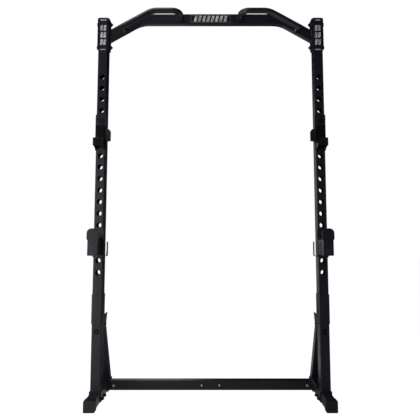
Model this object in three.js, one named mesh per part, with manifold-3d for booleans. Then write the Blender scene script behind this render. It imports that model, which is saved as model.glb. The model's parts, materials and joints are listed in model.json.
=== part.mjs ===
// Half rack: two perforated uprights on low feet, a bent multi-grip pull-up bar across the top,
// a pair of bar hooks and a pair of spotter catches, each held by a pin in an upright's hole.
// Millimetres. +X to the right, -Y towards the lifter, +Z up, origin on the floor under the middle.

import * as THREE from 'three';
import { mergeVertices } from 'three/addons/utils/BufferGeometryUtils.js';
import Module from 'manifold-3d';

const wasm = await Module();
wasm.setup();

// Fits
const gap = 0.3; // between pieces that touch
const boltPlay = 0.5; // between a bolt's shank and its hole, all round
const pinPlay = 1.5; // between a hook's pin and an upright's hole, all round

// Uprights
const postSpacing = 1202; // between the middles of the two uprights
const postWidth = 52;
const postDepth = 70;
const postWall = 3;
const postCorner = 4;
const postFrontY = -95; // front faces of the uprights
const frameTop = 2087; // top of the upright's cap
const capThickness = 3;
const capPlug = 14; // length of the cap's plug inside the tube

// Holes that take the pins
const pinRadius = 12;
const holeRadius = pinRadius + pinPlay;
const holePitch = 63;
const holeCount = 18;
const topHoleDrop = 342; // from the upright's top down to its top hole
const topHoleZ = frameTop - topHoleDrop;

// Splice between the lower and the upper tube of an upright
const sleeveBottom = 407;
const sleeveLength = 153;
const sleeveWall = 3;
const spliceZ = sleeveBottom + sleeveLength / 2;

// Feet
const footWidth = 53;
const footHeight = 50;
const footWall = 3;
const footRise = 6; // underside of the foot's tube above the floor
const footFront = -138; // measured back from the uprights' front faces
const footRear = 335;
const bootLength = 43;
const bootWall = 2;
const capPlate = 6;
const footTop = footRise + footHeight;

// Saddles that seat the uprights on the feet
const saddlePlate = 5;
const saddleLength = 115;
const saddleSkirtZ = 10;
const postBottom = footTop + gap + saddlePlate + gap;

// Rear crossmember and its angle brackets
const crossSize = 53;
const crossWall = 2.5;
const crossRise = 0.5;
const crossFront = 252;
const anglePlate = 4;
const angleReach = 58; // along the crossmember
const angleSide = 46; // along the foot
const crossBoltInset = 27; // from the foot's inner face
const crossBoltMid = 50; // from the middle of the frame

// Braces from the back of the uprights down to the feet
const braceWidth = 52;
const braceDepth = 50;
const braceWall = 3;
const braceTop = 390.7;
const braceRun = 192; // how far back the brace goes on its way down
const braceHeadPlate = 4;
const braceHeadHeight = 56;
const braceHeadFlare = 28; // how much further back its top edge stands
const braceBoltZ = 367;

// Pull-up bar
const barHeight = 60;
const barDepth = 40;
const barWall = 3;
const barDrop = 1; // middle of the level run below the upright's top
const barLevel = frameTop - barDrop;
const barShoulder = 251; // from the upright's middle in to the start of the bend
const barFlat = postSpacing / 2 - barShoulder;
const barBendRadius = 180;
const barSlope = 30; // degrees
const endPlate = 6;
const endPlateTop = frameTop - 1;
const endPlateHeight = 181;
const upperBoltInset = 28; // below the end plate's top
const lowerBoltInset = 19; // above the end plate's bottom
const badgeWidth = 230;
const badgeHeight = 50;
const badgeThickness = 1.5;

// Grips in front of the pull-up bar
const gripRadius = 16;
const gripWall = 2;
const gripReach = 75; // from the bar's front face to the grip's middle
const gripLift = 16; // above the middle of the bar
const gripInnerX = barFlat - 182;
const gripBendX = barFlat - 28;
const gripOuterX = barFlat + 143;
const gripSlope = 29.5; // degrees
const gripInnerRadius = 45;
const gripOuterRadius = 110;
const standoffRadius = 12;
const standoffInset = 14; // from the grip's outer end

// Bar hooks, with heights measured from the pin
const hookHole = 4; // counted down from the top hole
const bracketWall = 3;
const bracketPlay = 0.5;
const bracketFront = 5; // thickness of the plate against the upright
const bracketWrap = 22; // how far the side walls reach back along the upright
const hookPlateTop = 38;
const hookPlateBottom = -163;
const hookSeat = -127;
const hookLipTop = -101;
const hookReach = 72; // from the upright's face to the front of the lip
const hookLip = 6;
const hookSeatPlate = 5;
const hookWebDrop = 9; // depth of the webs under the seat at the lip
const hookWeb = 5;
const hookEarWidth = 26;
const hookEarTop = -42;
const hookEarHeight = 72;
const hookEarPlate = 4;
const linerThickness = 6;
const hookLinerTop = -23;

// Spotter catches, with heights measured from the pin
const catchHole = 14;
const catchPlateTop = 42;
const catchPlateBottom = -108;
const catchArmPlay = 1; // between the pin and the arm under it
const catchArmTop = -(pinRadius + catchArmPlay);
const catchArmHeight = 82;
const catchWall = 4;
const catchReach = 145; // from the upright's face to the front of the stop
const catchStop = 10;
const catchStopWidth = 62;
const catchStopTop = 44;
const catchStopCorner = 24;
const guardOffset = 16; // clear space between the bracket and its side guard
const guardTop = -25;
const catchLinerWidth = 44;
const catchLinerHeight = 6;

// Pins and bolts
const pinDepth = 62; // behind the upright's front face
const pinHead = 4;
const pinHeadRadius = 20;
const pinTaper = 3;
const frameBolt = { radius: 6, head: 8, nut: 10, tail: 5, flats: 19 };
const footBolt = { radius: 5, head: 6.5, nut: 8, tail: 4, flats: 17 };
const braceBoltHead = 11;

const finishes = {
  frame: { color: 0x15171a, roughness: 0.45, metalness: 0.35 },
  grip: { color: 0x0d0e10, roughness: 0.22, metalness: 0.3 },
  plastic: { color: 0x0e0f10, roughness: 0.6, metalness: 0 },
  rubber: { color: 0x17181a, roughness: 0.85, metalness: 0 },
  fastener: { color: 0x2a2c2f, roughness: 0.35, metalness: 0.9 },
  badge: { color: 0x17191c, roughness: 0.3, metalness: 0 },
};

const radians = (degrees) => (degrees * Math.PI) / 180;

// ---- joining and cutting ----

function solidOf(geometry) {
  const plain = geometry.clone();
  plain.deleteAttribute('normal');
  plain.deleteAttribute('uv');
  const merged = mergeVertices(plain, 1e-4);
  return new wasm.Manifold(new wasm.Mesh({
    numProp: 3,
    vertProperties: new Float32Array(merged.attributes.position.array),
    triVerts: new Uint32Array(merged.index.array),
  }));
}

function geometryOf(solid) {
  const mesh = solid.getMesh();
  const geometry = new THREE.BufferGeometry();
  geometry.setAttribute('position', new THREE.BufferAttribute(new Float32Array(mesh.vertProperties), 3));
  geometry.setIndex(new THREE.BufferAttribute(new Uint32Array(mesh.triVerts), 1));
  return geometry;
}

const join = (first, ...others) => others.reduce((sum, other) => sum.add(other), first);
const cut = (body, ...tools) => tools.reduce((left, tool) => left.subtract(tool), body);

// ---- simple solids ----

function block([x0, x1], [y0, y1], [z0, z1]) {
  const geometry = new THREE.BoxGeometry(Math.abs(x1 - x0), y1 - y0, z1 - z0);
  geometry.translate((x0 + x1) / 2, (y0 + y1) / 2, (z0 + z1) / 2);
  return solidOf(geometry);
}

// An outline's own axes lie along Y and Z, X and Z, or X and Y when it is extruded along x, y or z.
const unit = (x, y, z) => new THREE.Vector3(x, y, z);
const extrusionFrame = {
  x: new THREE.Matrix4().makeBasis(unit(0, 1, 0), unit(0, 0, 1), unit(1, 0, 0)),
  y: new THREE.Matrix4().makeBasis(unit(1, 0, 0), unit(0, 0, 1), unit(0, -1, 0)),
  z: new THREE.Matrix4(),
};

function prism(shape, axis, from, to, curveSegments = 4) {
  const low = Math.min(from, to);
  const high = Math.max(from, to);
  const settings = { depth: high - low, bevelEnabled: false, curveSegments };
  const geometry = new THREE.ExtrudeGeometry(shape, settings);
  geometry.applyMatrix4(extrusionFrame[axis]);
  const shift = { x: [low, 0, 0], y: [0, high, 0], z: [0, 0, low] }[axis];
  geometry.translate(...shift);
  return solidOf(geometry);
}

function roundedRect(width, height, radius, centreU = 0, centreV = 0) {
  const shape = new THREE.Shape();
  const u = width / 2 - radius;
  const v = height / 2 - radius;
  const corners = [[u, -v, -90], [u, v, 0], [-u, v, 90], [-u, -v, 180]];
  for (const [cornerU, cornerV, angle] of corners) {
    const start = radians(angle);
    shape.absarc(centreU + cornerU, centreV + cornerV, radius, start, start + Math.PI / 2, false);
  }
  return shape;
}

function polygon(points) {
  const shape = new THREE.Shape();
  points.forEach(([u, v], index) => (index ? shape.lineTo(u, v) : shape.moveTo(u, v)));
  return shape;
}

// Rod along an axis between two stations, with its middle at the other two coordinates.
function rod(axis, radius, from, to, u, v, sides = 16, endRadius = radius) {
  const length = Math.abs(to - from);
  const middle = (from + to) / 2;
  const top = to > from ? endRadius : radius;
  const bottom = to > from ? radius : endRadius;
  const geometry = new THREE.CylinderGeometry(top, bottom, length, sides);
  if (axis === 'x') {
    geometry.rotateZ(-Math.PI / 2);
    geometry.translate(middle, u, v);
  } else if (axis === 'y') {
    geometry.translate(u, middle, v);
  } else {
    geometry.rotateX(Math.PI / 2);
    geometry.translate(u, v, middle);
  }
  return solidOf(geometry);
}

// Rectangular tube standing on end around (0, middleY).
function uprightTube(width, depth, wall, corner, middleY, z0, z1) {
  const section = roundedRect(width, depth, corner, 0, middleY);
  const innerCorner = Math.max(corner - wall, 1);
  section.holes.push(roundedRect(width - 2 * wall, depth - 2 * wall, innerCorner, 0, middleY));
  return prism(section, 'z', z0, z1, 3);
}

// Through-bolt with a hex head at one end and a hex nut at the other.
function throughBolt(axis, headFace, nutFace, u, v, size) {
  const way = Math.sign(nutFace - headFace);
  const hexRadius = size.flats / Math.sqrt(3);
  const nutEnd = nutFace + way * size.nut;
  return join(
    rod(axis, size.radius, headFace - way, nutEnd + way * size.tail, u, v, 12),
    rod(axis, hexRadius, headFace - way * size.head, headFace, u, v, 6),
    rod(axis, hexRadius, nutFace, nutEnd, u, v, 6),
  );
}

function meshOf(name, solid, finish) {
  const mesh = new THREE.Mesh(geometryOf(solid), new THREE.MeshStandardMaterial(finishes[finish]));
  mesh.name = name;
  return mesh;
}

// ---- feet ----

const tubeFront = footFront + capPlate + gap;
const tubeRear = footRear - capPlate - gap;
const footMiddleZ = footRise + footHeight / 2;
const saddleBolts = [26, 87].map((y) => ({ y, z: 22 }));

function footTube() {
  const section = roundedRect(footWidth, footHeight, 5, 0, footMiddleZ);
  const bore = roundedRect(footWidth - 2 * footWall, footHeight - 2 * footWall, 2, 0, footMiddleZ);
  section.holes.push(bore);
  const holes = saddleBolts.map(({ y, z }) => (
    rod('x', footBolt.radius + boltPlay, -footWidth, footWidth, y, z, 12)
  ));
  return cut(prism(section, 'y', tubeFront, tubeRear, 3), ...holes);
}

function footBoot() {
  const outerWidth = footWidth + 2 * (gap + bootWall);
  const outerTop = footTop + gap + bootWall;
  const outside = roundedRect(outerWidth, outerTop, 5, 0, outerTop / 2);
  const inside = roundedRect(footWidth + 2 * gap, footHeight + 2 * gap, 5, 0, footMiddleZ);
  return cut(
    prism(outside, 'y', footFront, footFront + bootLength, 3),
    prism(inside, 'y', footFront + capPlate, footFront + 2 * bootLength, 3),
  );
}

function footRearCap() {
  const outerWidth = footWidth + 2 * (gap + bootWall);
  const outside = roundedRect(outerWidth, footTop, 5, 0, footTop / 2);
  const plugWidth = footWidth - 2 * (footWall + gap);
  const plugHeight = footHeight - 2 * (footWall + gap);
  const plug = roundedRect(plugWidth, plugHeight, 2, 0, footMiddleZ);
  plug.holes.push(roundedRect(plugWidth - 6, plugHeight - 6, 1, 0, footMiddleZ));
  return join(
    prism(outside, 'y', footRear - capPlate, footRear, 3),
    prism(plug, 'y', footRear - capPlate - 25, footRear - capPlate + 1, 2),
  );
}

// Inverted U over the foot, which the upright stands on.
const saddleTopZ = footTop + gap;
const saddleInner = footWidth / 2 + gap;
const saddleOuter = saddleInner + saddlePlate;

function saddle() {
  const half = polygon([
    [-saddleOuter, saddleSkirtZ],
    [-saddleInner, saddleSkirtZ],
    [-saddleInner, saddleTopZ],
    [saddleInner, saddleTopZ],
    [saddleInner, saddleSkirtZ],
    [saddleOuter, saddleSkirtZ],
    [saddleOuter, saddleTopZ + saddlePlate],
    [-saddleOuter, saddleTopZ + saddlePlate],
  ]);
  const holes = saddleBolts.map(({ y, z }) => (
    rod('x', footBolt.radius + boltPlay, -2 * saddleOuter, 2 * saddleOuter, y, z, 12)
  ));
  return cut(prism(half, 'y', 0, saddleLength), ...holes);
}

// ---- uprights ----

const postMiddleY = postDepth / 2;
const endPlateFace = postWidth / 2 + gap; // where the bar's plates meet the upright
const barBoltHeights = [endPlateTop - upperBoltInset, endPlateTop - endPlateHeight + lowerBoltInset];
const holeHeight = (index) => topHoleZ - index * holePitch;

function postUpper() {
  const tubeTop = frameTop - capThickness - gap;
  const tube = uprightTube(postWidth, postDepth, postWall, postCorner, postMiddleY, spliceZ + gap, tubeTop);
  const pinHoles = Array.from({ length: holeCount }, (_, index) => (
    rod('y', holeRadius, -postDepth, 2 * postDepth, 0, holeHeight(index), 16)
  ));
  const boltHoles = barBoltHeights.map((z) => (
    rod('x', frameBolt.radius + boltPlay, -postWidth, postWidth, postMiddleY, z, 12)
  ));
  return cut(tube, ...pinHoles, ...boltHoles);
}

function postLower() {
  const tube = uprightTube(postWidth, postDepth, postWall, postCorner, postMiddleY, postBottom, spliceZ);
  return cut(
    tube,
    rod('y', holeRadius, -postDepth, postDepth / 2, 0, braceBoltZ, 16),
    rod('y', frameBolt.radius + boltPlay, 0, 2 * postDepth, 0, braceBoltZ, 12),
  );
}

function postSleeve() {
  const grow = 2 * (gap + sleeveWall);
  const corner = postCorner + gap + sleeveWall;
  const sleeveTop = sleeveBottom + sleeveLength;
  const width = postWidth + grow;
  const depth = postDepth + grow;
  return uprightTube(width, depth, sleeveWall, corner, postMiddleY, sleeveBottom, sleeveTop);
}

function postCap() {
  const lid = roundedRect(postWidth, postDepth, postCorner, 0, postMiddleY);
  const plugWidth = postWidth - 2 * (postWall + gap);
  const plugDepth = postDepth - 2 * (postWall + gap);
  const plug = roundedRect(plugWidth, plugDepth, postCorner - postWall, 0, postMiddleY);
  plug.holes.push(roundedRect(plugWidth - 5, plugDepth - 5, 1, 0, postMiddleY));
  const lidBottom = frameTop - capThickness;
  return join(
    prism(lid, 'z', lidBottom, frameTop, 3),
    prism(plug, 'z', lidBottom - capPlug, lidBottom + 1, 2),
  );
}

// ---- braces ----

const braceFrontY = postDepth + gap + sleeveWall + gap + braceHeadPlate + gap;
const braceBottom = footTop + gap;
const braceFall = braceTop - braceBottom;
const braceLean = Math.atan2(braceFall, braceRun);
const braceAcross = braceDepth / Math.sin(braceLean); // level width of the leaning tube

// Side view of the leaning tube, or of its bore when inset and lengthened past both ends.
function braceOutline(inset, past) {
  const slope = braceRun / braceFall;
  const levelInset = inset / Math.sin(braceLean);
  const frontAt = (z) => braceFrontY + levelInset + (braceTop - z) * slope;
  const rearAt = (z) => braceFrontY + braceAcross - levelInset + (braceTop - z) * slope;
  const top = braceTop + past;
  const bottom = braceBottom - past;
  return polygon([
    [frontAt(bottom), bottom],
    [rearAt(bottom), bottom],
    [rearAt(top), top],
    [frontAt(top), top],
  ]);
}

function brace() {
  const half = braceWidth / 2;
  const bore = half - braceWall;
  return cut(
    prism(braceOutline(0, 0), 'x', -half, half),
    prism(braceOutline(braceWall, 20), 'x', -bore, bore),
    rod('y', frameBolt.radius + boltPlay, 0, braceFrontY + braceAcross / 2, 0, braceBoltZ, 12),
  );
}

// Flared bracket on the brace's top end, open at the top and the back.
function braceHead() {
  const frontY = braceFrontY - gap - braceHeadPlate;
  const bottom = braceTop + gap;
  const top = bottom + braceHeadHeight;
  const rearBottom = braceFrontY + braceAcross;
  const side = polygon([
    [frontY, bottom],
    [rearBottom, bottom],
    [rearBottom + braceHeadFlare, top],
    [frontY, top],
  ]);
  const half = braceWidth / 2;
  const pocket = half - braceHeadPlate;
  return cut(
    prism(side, 'x', -half, half),
    block([-pocket, pocket], [braceFrontY - gap, 2 * rearBottom], [bottom + braceHeadPlate, 2 * top]),
  );
}

// Its head sits inside the upright's front hole and bears on a collar through to the back wall.
function braceBolt() {
  const braceFace = braceFrontY + (braceTop - braceBoltZ) * (braceRun / braceFall);
  const hexRadius = frameBolt.flats / Math.sqrt(3);
  const wallSetback = braceWall / Math.sin(braceLean) + hexRadius * (braceRun / braceFall);
  const nutStart = braceFace + wallSetback + gap;
  return join(
    rod('y', braceBoltHead - 2, 1, 3, 0, braceBoltZ, 20, braceBoltHead),
    rod('y', braceBoltHead, 3, 9, 0, braceBoltZ, 20),
    rod('y', frameBolt.radius + 3, 8, postDepth - postWall - gap, 0, braceBoltZ, 16),
    rod('y', frameBolt.radius, 8, nutStart + frameBolt.nut + 2, 0, braceBoltZ, 12),
    rod('y', hexRadius, nutStart, nutStart + frameBolt.nut, 0, braceBoltZ, 6),
  );
}

// ---- rear crossmember ----

const crossHalf = postSpacing / 2 - footWidth / 2 - gap;
const crossMiddleZ = crossRise + crossSize / 2;
const crossEndBolt = postSpacing / 2 - footWidth / 2 - crossBoltInset;
const crossBoltPlaces = [-crossEndBolt, -crossBoltMid, crossBoltMid, crossEndBolt];

function crossmember() {
  const middleY = crossFront + crossSize / 2;
  const section = roundedRect(crossSize, crossSize, 4, middleY, crossMiddleZ);
  const boreSize = crossSize - 2 * crossWall;
  section.holes.push(roundedRect(boreSize, boreSize, 2, middleY, crossMiddleZ));
  const holes = crossBoltPlaces.map((x) => (
    rod('y', footBolt.radius + boltPlay, 0, 2 * crossFront, x, crossMiddleZ, 12)
  ));
  return cut(prism(section, 'x', -crossHalf, crossHalf, 3), ...holes);
}

// Angle between the foot's inner face and the crossmember's front face, seen from above.
function crossAngle(side) {
  const inward = -side;
  const inner = footWidth / 2 + gap;
  const rear = crossFront - gap;
  const plan = polygon([
    [inward * inner, rear - angleSide],
    [inward * (inner + anglePlate), rear - angleSide],
    [inward * (inner + anglePlate), rear - anglePlate],
    [inward * (inner + angleReach), rear - anglePlate],
    [inward * (inner + angleReach), rear],
    [inward * inner, rear],
  ]);
  const hole = rod('y', footBolt.radius + boltPlay, 0, 2 * crossFront,
    inward * (footWidth / 2 + crossBoltInset), crossMiddleZ, 12);
  return cut(prism(plan, 'z', crossRise + 3, crossRise + crossSize - 3), hole);
}

function crossBolt(x, frontFace) {
  return throughBolt('y', frontFace, crossFront + crossSize + gap, x, crossMiddleZ, footBolt);
}

// ---- pull-up bar ----

const barFrontY = postMiddleY - barDepth / 2;
const barEndX = postSpacing / 2 - endPlateFace - endPlate - gap;

// Front view of the bent bar, inset from its faces and lengthened past both ends.
function barOutline(inset, past) {
  const halfHeight = barHeight / 2 - inset;
  const slope = radians(barSlope);
  const endX = barEndX + past;
  const centreZ = barLevel - barBendRadius;
  const outer = barBendRadius + halfHeight;
  const inner = barBendRadius - halfHeight;
  const endZ = (radius) => {
    const bendEndX = barFlat + radius * Math.sin(slope);
    const bendEndZ = centreZ + radius * Math.cos(slope);
    return bendEndZ - (endX - bendEndX) * Math.tan(slope);
  };
  const quarter = Math.PI / 2;
  const shape = new THREE.Shape();
  shape.moveTo(-barFlat, barLevel + halfHeight);
  shape.lineTo(barFlat, barLevel + halfHeight);
  shape.absarc(barFlat, centreZ, outer, quarter, quarter - slope, true);
  shape.lineTo(endX, endZ(outer));
  shape.lineTo(endX, endZ(inner));
  shape.absarc(barFlat, centreZ, inner, quarter - slope, quarter, false);
  shape.absarc(-barFlat, centreZ, inner, quarter, quarter + slope, false);
  shape.lineTo(-endX, endZ(inner));
  shape.lineTo(-endX, endZ(outer));
  shape.absarc(-barFlat, centreZ, outer, quarter + slope, quarter, true);
  return shape;
}

function pullUpBar() {
  return cut(
    prism(barOutline(0, 0), 'y', barFrontY, barFrontY + barDepth, 6),
    prism(barOutline(barWall, 5), 'y', barFrontY + barWall, barFrontY + barDepth - barWall, 6),
  );
}

// Plate on one side face of an upright, which the bar's bolts go through.
function endPlateSolid(direction) {
  const start = direction * endPlateFace;
  const middleZ = endPlateTop - endPlateHeight / 2;
  const face = roundedRect(postDepth, endPlateHeight, 8, postMiddleY, middleZ);
  const holes = barBoltHeights.map((z) => (
    rod('x', frameBolt.radius + boltPlay, -postWidth, postWidth, postMiddleY, z, 12)
  ));
  return cut(prism(face, 'x', start, start + direction * endPlate, 3), ...holes);
}

function barBolt(side, z) {
  const face = endPlateFace + endPlate + gap;
  return throughBolt('x', side * face, -side * face, postMiddleY, z, frameBolt);
}

function badge() {
  const face = roundedRect(badgeWidth, badgeHeight, 4, 0, barLevel);
  return prism(face, 'y', barFrontY - gap - badgeThickness, barFrontY - gap, 3);
}

// ---- grips ----

// Stations along straight runs joined by round bends, so that only the bends are divided.
function filletPath(corners, radii, divisions) {
  const stations = [corners[0].clone()];
  for (let index = 1; index < corners.length - 1; index += 1) {
    const corner = corners[index];
    const back = corners[index - 1].clone().sub(corner).normalize();
    const ahead = corners[index + 1].clone().sub(corner).normalize();
    const turn = Math.PI - back.angleTo(ahead);
    const radius = radii[index - 1];
    const start = corner.clone().addScaledVector(back, radius * Math.tan(turn / 2));
    const reach = radius / Math.cos(turn / 2);
    const centre = back.clone().add(ahead).normalize().multiplyScalar(reach).add(corner);
    const spoke = start.clone().sub(centre);
    const hinge = back.clone().negate().cross(ahead).normalize();
    for (let step = 0; step <= divisions; step += 1) {
      const turned = spoke.clone().applyAxisAngle(hinge, (turn * step) / divisions);
      stations.push(turned.add(centre));
    }
  }
  stations.push(corners[corners.length - 1].clone());
  return stations;
}

class StationCurve extends THREE.Curve {
  constructor(stations) {
    super();
    this.stations = stations;
  }

  getPoint(t, target = new THREE.Vector3()) {
    const last = this.stations.length - 1;
    const place = Math.min(t * last, last - 1e-9);
    const index = Math.floor(place);
    return target.lerpVectors(this.stations[index], this.stations[index + 1], place - index);
  }

  getPointAt(u, target) {
    return this.getPoint(u, target);
  }

  getTangentAt(u, target = new THREE.Vector3()) {
    const last = this.stations.length - 1;
    const index = Math.round(u * last);
    const before = this.stations[Math.max(index - 1, 0)];
    const here = this.stations[index];
    const after = this.stations[Math.min(index + 1, last)];
    const arriving = here.clone().sub(before).normalize();
    const leaving = after.clone().sub(here).normalize();
    return target.copy(arriving).add(leaving).normalize();
  }
}

function grip(side) {
  const frontY = barFrontY - gripReach;
  const level = barLevel + gripLift;
  const slope = Math.tan(radians(gripSlope));
  const outerZ = level - (gripOuterX - gripBendX) * slope;
  const corners = [
    unit(side * gripInnerX, barFrontY - gap, barLevel + 4),
    unit(side * gripInnerX, frontY, level),
    unit(side * gripBendX, frontY, level),
    unit(side * gripOuterX, frontY, outerZ),
  ];
  const stations = filletPath(corners, [gripInnerRadius, gripOuterRadius], 7);
  const ring = new THREE.Shape();
  ring.absarc(0, 0, gripRadius, 0, 2 * Math.PI, false);
  const bore = new THREE.Path();
  bore.absarc(0, 0, gripRadius - gripWall, 0, 2 * Math.PI, true);
  ring.holes.push(bore);
  const settings = {
    steps: stations.length - 1,
    extrudePath: new StationCurve(stations),
    bevelEnabled: false,
    curveSegments: 14,
  };
  // The inner end meets the bar at a slight angle, so it is trimmed flat against the bar's face.
  const tube = cut(
    solidOf(new THREE.ExtrudeGeometry(ring, settings)),
    block(
      [-postSpacing, postSpacing],
      [barFrontY - gap, barFrontY + barDepth],
      [barLevel - gripReach * 3, frameTop + gripReach * 3],
    ),
  );
  const standoffX = gripOuterX - standoffInset;
  const standoffZ = level - (standoffX - gripBendX) * slope;
  const standoff = rod('y', standoffRadius, frontY + gripRadius - gripWall, barFrontY - gap,
    side * standoffX, standoffZ, 14);
  return join(tube, standoff);
}

// ---- bar hooks ----

const bracketInner = postWidth / 2 + bracketPlay;
const bracketOuter = bracketInner + bracketWall;
const bracketFace = -bracketPlay - bracketFront; // front of the plate against the upright
const seatWidth = postWidth;

// Plate against the upright's front face with side walls that wrap round it.
function wrapBracket(bottom, top, wallTop) {
  const plate = roundedRect(2 * bracketOuter, top - bottom, 5, 0, (top + bottom) / 2);
  const walls = [-1, 1].map((direction) => block(
    [direction * bracketInner, direction * bracketOuter],
    [bracketFace + 1, bracketWrap],
    [bottom + 8, wallTop],
  ));
  return join(prism(plate, 'y', bracketFace, -bracketPlay, 3), ...walls);
}

function hookBody(side) {
  const pinZ = holeHeight(hookHole);
  const inward = -side;
  const seatZ = pinZ + hookSeat;
  const lipTop = pinZ + hookLipTop;
  const back = bracketFace + 1;
  const seatAndLip = new THREE.Shape();
  const lipInside = hookLip - hookReach;
  const fillet = 8;
  seatAndLip.moveTo(back, seatZ - hookSeatPlate);
  seatAndLip.lineTo(back, seatZ);
  seatAndLip.lineTo(lipInside + fillet, seatZ);
  seatAndLip.absarc(lipInside + fillet, seatZ + fillet, fillet, -Math.PI / 2, -Math.PI, true);
  seatAndLip.lineTo(lipInside, lipTop - 2);
  seatAndLip.lineTo(lipInside - 2, lipTop);
  seatAndLip.lineTo(-hookReach + 2, lipTop);
  seatAndLip.lineTo(-hookReach, lipTop - 2);
  seatAndLip.lineTo(-hookReach, seatZ - hookSeatPlate);
  const webs = [-1, 1].map((direction) => prism(polygon([
    [back, seatZ - 1],
    [-hookReach, seatZ - 1],
    [-hookReach, seatZ - hookSeatPlate - hookWebDrop],
    [back, pinZ + hookPlateBottom + 4],
  ]), 'x', direction * (seatWidth / 2 - hookWeb), direction * (seatWidth / 2)));
  const earFar = bracketOuter + hookEarWidth;
  const earTop = pinZ + hookEarTop;
  const earCorner = 16;
  const ear = new THREE.Shape();
  ear.moveTo(inward * (bracketOuter - 3), earTop - hookEarHeight);
  ear.lineTo(inward * earFar, earTop - hookEarHeight + 4);
  ear.lineTo(inward * earFar, earTop - earCorner);
  ear.lineTo(inward * (earFar - earCorner / 2), earTop - earCorner / 4);
  ear.lineTo(inward * (earFar - earCorner), earTop);
  ear.lineTo(inward * (bracketOuter - 3), earTop);
  const bracket = wrapBracket(pinZ + hookPlateBottom, pinZ + hookPlateTop, pinZ + hookPlateTop - 8);
  const body = join(
    bracket,
    prism(seatAndLip, 'x', -seatWidth / 2, seatWidth / 2, 3),
    ...webs,
    prism(ear, 'y', bracketFace, bracketFace + hookEarPlate),
  );
  return cut(body, rod('y', pinRadius + gap, -hookReach / 2, 0, 0, pinZ, 20));
}

// Plastic lining of the cup: up the plate, along the seat and up the lip.
function hookLiner() {
  const pinZ = holeHeight(hookHole);
  const seatZ = pinZ + hookSeat + gap;
  const back = bracketFace - gap;
  const front = hookLip - hookReach + gap;
  const wall = linerThickness;
  const fillet = 8;
  const shape = new THREE.Shape();
  shape.moveTo(back, seatZ);
  shape.lineTo(back, pinZ + hookLinerTop);
  shape.lineTo(back - wall / 2, pinZ + hookLinerTop);
  shape.lineTo(back - wall, pinZ + hookLinerTop - 5);
  shape.lineTo(back - wall, seatZ + wall);
  shape.lineTo(front + wall, seatZ + wall);
  shape.lineTo(front + wall - 2, pinZ + hookLipTop - 4);
  shape.lineTo(front, pinZ + hookLipTop - 4);
  shape.lineTo(front, seatZ + fillet);
  shape.absarc(front + fillet, seatZ + fillet, fillet, Math.PI, 1.5 * Math.PI, false);
  return prism(shape, 'x', -seatWidth / 2 + 2, seatWidth / 2 - 2, 3);
}

// Round pin with a flat head against the bracket and a tapered tip. A head above an arm is cut flat.
function lockPin(pinZ, flatBelow) {
  const headBack = bracketFace - gap;
  const headFront = headBack - pinHead;
  const head = rod('y', pinHeadRadius - 1.5, headFront, headBack, 0, pinZ, 24, pinHeadRadius);
  const trim = block([-60, 60], [headFront - 5, headBack + gap / 2], [pinZ - 80, pinZ + flatBelow]);
  return join(
    cut(head, trim),
    rod('y', pinRadius, headBack - 1, pinDepth - pinTaper, 0, pinZ, 20),
    rod('y', pinRadius, pinDepth - pinTaper, pinDepth, 0, pinZ, 20, pinRadius - pinTaper),
  );
}

// ---- spotter catches ----

// The inner side wall turns under and up again into a side guard.
function catchBracket(side) {
  const pinZ = holeHeight(catchHole);
  const inward = -side;
  const bottom = pinZ + catchPlateBottom;
  const guardInside = bracketOuter + guardOffset;
  const guardOutside = guardInside + bracketWall;
  const top = pinZ + guardTop;
  const guard = polygon([
    [inward * (bracketOuter - 1), bottom + 8],
    [inward * (bracketOuter - 1), bottom + 8 - bracketWall],
    [inward * (guardOutside - 5), bottom + 8 - bracketWall],
    [inward * guardOutside, bottom + 13 - bracketWall],
    [inward * guardOutside, top - 6],
    [inward * (guardOutside - 2), top],
    [inward * guardInside, top],
    [inward * guardInside, bottom + 8],
  ]);
  const bracket = wrapBracket(bottom, pinZ + catchPlateTop, top);
  return cut(
    join(bracket, prism(guard, 'y', bracketFace + 1, bracketWrap)),
    rod('y', pinRadius + gap, -30, 0, 0, pinZ, 20),
  );
}

function catchArm() {
  const pinZ = holeHeight(catchHole);
  const top = pinZ + catchArmTop;
  const bottom = top - catchArmHeight;
  const middleZ = (top + bottom) / 2;
  const stopBack = catchStop - catchReach;
  const section = roundedRect(seatWidth, catchArmHeight, 5, 0, middleZ);
  section.holes.push(roundedRect(seatWidth - 2 * catchWall, catchArmHeight - 2 * catchWall, 2, 0, middleZ));
  const stopTop = pinZ + catchStopTop;
  const half = catchStopWidth / 2;
  const stop = new THREE.Shape();
  stop.moveTo(-seatWidth / 2, bottom + 3);
  stop.lineTo(-seatWidth / 2 + 3, bottom);
  stop.lineTo(seatWidth / 2 - 3, bottom);
  stop.lineTo(seatWidth / 2, bottom + 3);
  stop.lineTo(seatWidth / 2, top - 3);
  stop.lineTo(half, top + 1);
  stop.absarc(half - catchStopCorner, stopTop - catchStopCorner, catchStopCorner, 0, Math.PI / 2, false);
  const cornerZ = stopTop - catchStopCorner;
  stop.absarc(catchStopCorner - half, cornerZ, catchStopCorner, Math.PI / 2, Math.PI, false);
  stop.lineTo(-half, top + 1);
  stop.lineTo(-seatWidth / 2, top - 3);
  return join(
    prism(section, 'y', stopBack - 1, bracketFace - gap, 3),
    prism(stop, 'y', -catchReach, stopBack, 5),
  );
}

function catchLiner() {
  const bottom = holeHeight(catchHole) + catchArmTop + gap;
  const top = bottom + catchLinerHeight;
  const half = catchLinerWidth / 2;
  const chamfer = 2;
  const section = polygon([
    [-half, bottom],
    [half, bottom],
    [half, top - chamfer],
    [half - chamfer, top],
    [chamfer - half, top],
    [-half, top - chamfer],
  ]);
  return prism(section, 'y', catchStop - catchReach + gap, bracketFace - gap - pinHead - 2);
}

// ---- assembly ----

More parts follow.
